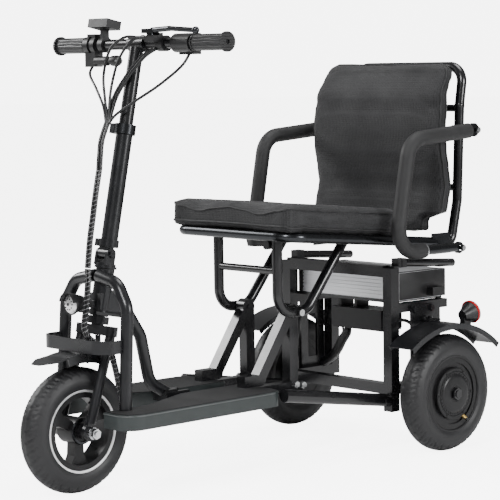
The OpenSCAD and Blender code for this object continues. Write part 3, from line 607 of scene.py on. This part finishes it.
def seat_spot(u, v, top):
    x, y = u * SEAT_HALF, (v + 1) / 2 * SEAT_LONG + 4
    # rounded front corners
    corner = 30
    if y < corner:
        reach = SEAT_HALF - corner + math.sqrt(max(0, corner ** 2 - (corner - y) ** 2))
        x *= 1 - (SEAT_HALF - reach) / SEAT_HALF * 0.8
    if top:
        z = blend_table(abs(x), SEAT_ACROSS)
        z -= 5 * max(0, 1 - (y - 4) / 20) ** 2 + 5 * max(0, (y - SEAT_LONG + 12) / 16) ** 2
        z -= 2
    else:
        z = 2.0 + 3 * max(0, 1 - (y - 4) / 24) ** 2
    return SEAT_PLACE @ (Vector((x, y, z)) * MM)


BACK_FRONT = [(474, 413), (500, 416), (530, 431), (580, 441), (611, 436), (663, 427), (703, 424), (771, 432),
              (838, 465), (851, 476)]


def back_half(z):
    wide = blend_table(z, [(474, 196), (520, 201), (703, 201), (771, 197), (830, 189), (851, 186)])
    if z > 811:
        wide -= 38 - math.sqrt(max(0, 38 ** 2 - min(38, z - 811) ** 2))
    # lower corners stay clear of the seat side tubes when folded
    if z < 520:
        wide = min(wide, blend_table(z, [(474, 153), (506, 155), (520, 201)]))
    return wide


def back_spot(u, v, front):
    z = 476 + (v + 1) / 2 * 371
    x = u * back_half(z)
    y = blend_table(z, BACK_FRONT)
    if front:
        y += 3 + 9 * abs(u) ** 8
    else:
        y += 40 - 3 * abs(u) ** 6
        if z > 835:
            y -= 4
    return Vector((x, y, z)) * MM


seat_pad = closed_pad("seat_pad", seat_spot, "seat", mesh_black)
stuff_pad(seat_pad, 0.005, 4.0)
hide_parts("seat_cushion")

back_pad = closed_pad("back_pad", back_spot, "backrest", mesh_black)
stuff_pad(back_pad, 0.005, 4.0)
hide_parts("back_cushion")


def rim_loop(spot, level, grow, count=40):
    """closed line round a pad, at the given share between its two faces"""
    edge = []
    for k in range(count):
        edge.append((-1 + 2 * k / count, -1))
    for k in range(count):
        edge.append((1, -1 + 2 * k / count))
    for k in range(count):
        edge.append((1 - 2 * k / count, 1))
    for k in range(count):
        edge.append((-1, 1 - 2 * k / count))
    middle = (spot(0, 0, True) + spot(0, 0, False)) / 2
    through = (spot(0, 0, True) - spot(0, 0, False)).normalized()
    out = []
    for u, v in edge:
        p = spot(u, v, True).lerp(spot(u, v, False), level)
        flat = p - middle
        flat -= through * flat.dot(through)
        out.append(p + flat.normalized() * grow * MM)
    return out


def on_surface(pad, points, lift):
    """moves points onto the nearest spot of a pad's finished surface"""
    tree = BVHTree.FromObject(pad, bpy.context.evaluated_depsgraph_get())
    out = []
    for p in points:
        place, normal = tree.find_nearest(p)[:2]
        out.append(place + normal * lift * MM)
    return out


for name, pad, spot, body in (("seat", seat_pad, seat_spot, "seat"), ("back", back_pad, back_spot, "backrest")):
    for tag, level in (("front", 0.07), ("rear", 0.9)):
        edge = on_surface(pad, rim_loop(spot, level, 2.0, 60), 0.9)
        line = cable(f"{name}_piping_{tag}", edge, 2.0, body, piping_cloth, True)


# ---- footboards ----

def deck_cover(side):
    tag = "left" if side > 0 else "right"
    outline = [(88, -426), (126, -428), (148, -420), (159, -398), (160, -392), (153, -36), (146, -16), (126, -10),
               (27, -10), (27, -179), (88, -319)]
    bm = bmesh.new()
    verts = [bm.verts.new((side * x * MM, y * MM, 0.1722)) for x, y in outline]
    face = bm.faces.new(verts)
    out = bmesh.ops.extrude_face_region(bm, geom=[face], use_keep_orig=True)
    top = [e for e in out["geom"] if isinstance(e, bmesh.types.BMVert)]
    bmesh.ops.translate(bm, vec=(0, 0, 0.0012), verts=top)
    link_piece("deck_cover_" + tag, bm, "frame", deck_top)
    edge = [Vector((side * x * MM, y * MM, 0.1695)) for x, y in
            [(86, -431), (125, -431), (150, -423), (162.5, -398), (163.2, -390), (155.8, -34), (147, -13),
             (126, -7.5), (25, -7.5)]]
    cable("deck_trim_" + tag, edge, 1.3, "frame", trim_line)


for side in (-1, 1):
    deck_cover(side)


# ---- lamps ----

bm = lathe([(-447, 0), (-446.4, 6), (-444.6, 12), (-441.6, 17.4), (-439.6, 19.6), (-437.5, 19.8)], 64,
           (0, 0, 0.381), "Y")
link_piece("headlight_lens", bm, "lamp", reflector)
bm = bmesh.new()
for k in range(10):
    a = math.tau * k / 10
    x, z = 11 * math.cos(a), 381 + 11 * math.sin(a)
    add_turned(bm, (x, -445.8, z), (x, -443, z), 1.5, 10)
add_turned(bm, (0, -448, 381), (0, -444, 381), 3.0, 16)
link_piece("headlight_beads", bm, "lamp", black_plastic)
# hood over the lens
bm = bmesh.new()
rows = []
for y, grow in ((-451, 1.5), (-440, 0.4), (-412, -7.6)):
    radius = 22.6 + grow
    rows.append([bm.verts.new(Vector((radius * math.sin(math.radians(a)), y,
                                      381 + radius * math.cos(math.radians(a)))) * MM) for a in range(-78, 79, 6)])
for low, high in zip(rows, rows[1:]):
    for row in (low, high):
        for pair in zip(row, row[1:]):
            if not bm.edges.get(pair):
                bm.edges.new(pair)
    bmesh.ops.bridge_loops(bm, edges=[bm.edges.get(pair) for row in (low, high) for pair in zip(row, row[1:])])
bmesh.ops.recalc_face_normals(bm, faces=bm.faces)
bmesh.ops.solidify(bm, geom=bm.faces[:], thickness=1.4 * MM)
link_piece("headlight_hood", bm, "lamp", black_plastic)
TAIL_TILT = Matrix.Rotation(math.radians(14), 4, "X")
for side in (-1, 1):
    tag = "left" if side > 0 else "right"
    bm = lathe([(21.2, 0), (21, 18), (20, 24.4), (14.4, 26), (13.6, 23.6)], 64, (0, 0, 0), "Y")
    bmesh.ops.transform(bm, matrix=Matrix.Translation((side * 0.25, 0.464, 0.297)) @ TAIL_TILT, verts=bm.verts)
    link_piece("tail_lens_" + tag, bm, "frame", lens_red)


# ---- battery ends, pivot bolts and armrest rings ----

for side in (-1, 1):
    tag = "left" if side > 0 else "right"
    end = 8 + side * 157.5
    bm = bmesh.new()
    low, high = sorted((end - side * 15, end + side * 0.45))
    add_block(bm, (low, 337.4, 330.15), (high, 490.6, 392.2), 2.2)
    link_piece("battery_cap_" + tag, bm, "battery", black_plastic)
    for name, body, reach, y, z, radius in (("pivot_seat", "seat", 110, 94, 323, 7.0),
                                            ("pivot_arm_low", "seat", 242, 466, 443, 5.6),
                                            ("pivot_arm_high", "backrest", 242, 517, 701, 5.6)):
        bm = bmesh.new()
        add_turned(bm, (side * (reach - 3), y, z), (side * (reach + 1.6), y, z), radius, 32)
        add_turned(bm, (side * (reach + 1), y, z), (side * (reach + 2.2), y, z), radius * 0.45, 6)
        link_piece(f"{name}_{tag}", bm, body, bright)
    bm = bmesh.new()
    add_turned(bm, (side * 226, 350.2, 444), (side * 226, 354, 444), 15.6, 48)
    link_piece("arm_ring_" + tag, bm, "armrest_" + tag, bright)


# round head of the key
bm = lathe([(-87, 0), (-86, 7.5), (-82, 10.8), (-68, 11.4), (-62.5, 9.5), (-61, 0)], 40, (0, -0.254, 0.862))
link_piece("key_head", bm, "key", black_plastic)


# ---- cables ----

CABLE_TOP = [(60, -262, 884), (40, -276, 868), (12, -292, 832), (-12, -306, 790), (-16, -322, 745), (-14, -342, 704),
             (-8, -352, 672), (-4, -358, 643)]
CABLE_LOW = [(-4, -358.5, 642), (4, -374, 600), (8, -386, 552), (12, -398, 505), (19, -410, 452)]
CABLE_FOOT = [(20, -411, 450), (28, -418, 418), (33, -428, 372), (34, -433, 334), (44, -426, 314), (66, -398, 290),
              (74, -392, 262), (78, -388, 236), (80, -382, 205), (84, -372, 178)]
BAR_CABLES = {
    "brake_front": [(31, -280, 908), (4, -293, 908), (-26, -306, 884), (-38, -314, 834), (-28, -320, 786),
                    (-18, -323, 745), (-16, -331, 722)],
    "brake_rear": [(31, -266, 908), (6, -277, 901), (-12, -294, 866), (-19, -307, 820), (-17, -317, 780),
                   (-13, -323, 745), (-12, -331, 722)],
    "horn": [(142, -240, 873), (132, -254, 848), (92, -278, 812), (42, -300, 780), (2, -316, 754), (-11, -326, 734)],
    "throttle": [(-152, -252, 851), (-128, -278, 834), (-78, -302, 806), (-36, -318, 770), (-20, -325, 736)],
}


def moved(points, dx, dy):
    return [p + Vector((dx, dy, 0)) * MM for p in points]


for name, route, body, node in (("top", CABLE_TOP, "stem_top", "cable_top"),
                                ("low", CABLE_LOW, "stem_base", "cable_low"),
                                ("foot", CABLE_FOOT, "frame", "cable_foot")):
    path = smooth_route(route, 6)
    first = cable(f"loom_{name}_a", moved(path, -4.2, 0), 3.4, body, sheath)
    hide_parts(node)
    cable(f"loom_{name}_b", moved(path, 4.2, 1), 3.4, body, sheath)
    if name != "top":
        for tag, dx, dy, phase in (("a", -4.2, 0, 0.0), ("b", 4.2, 1, 2.0)):
            # grey helix round each strand: a real spiral wrap whose light grey colour is a painted highlight
            wrap = spiral(moved(path, dx, dy), 3.3, 9, phase)
            cable(f"loom_{name}_wrap_{tag}", wrap, 0.55, body, wrap_grey_painted_glint, sides=1)


for name, route in BAR_CABLES.items():
    cable("cable_" + name, smooth_route(route, 8), 2.9, "stem_top", sheath)
